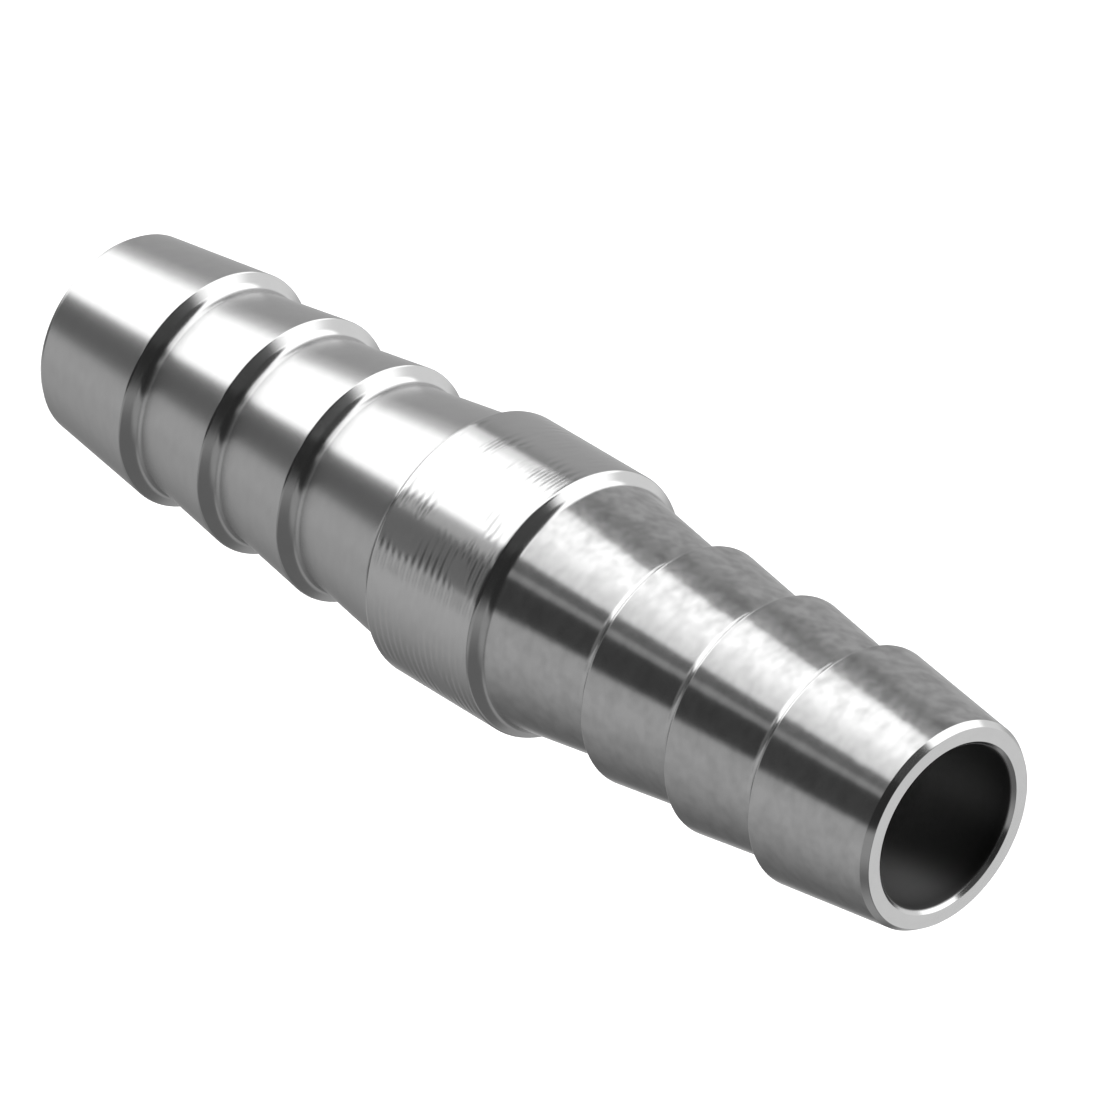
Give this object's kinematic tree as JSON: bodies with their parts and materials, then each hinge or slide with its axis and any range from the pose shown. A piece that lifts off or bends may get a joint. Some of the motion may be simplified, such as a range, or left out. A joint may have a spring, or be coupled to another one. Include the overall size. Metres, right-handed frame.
{
  "type": "hose splice connector",
  "caption": "Straight stainless steel connector that joins two hose ends, with a barbed tail on each side of a plain collar and a bore right through.",
  "frame": {"origin": "middle of the lower end face, where the connector stands", "axes": "+Z along the connector's axis, upwards from the lower end face"},
  "size_m": [0.012, 0.012, 0.05],
  "materials": {
    "stainless_steel": "turned on a lathe, with fine turning lines and a satin gloss"
  },
  "bodies": {
    "root": {"splice_body": "stainless_steel"}
  },
  "joints": []
}
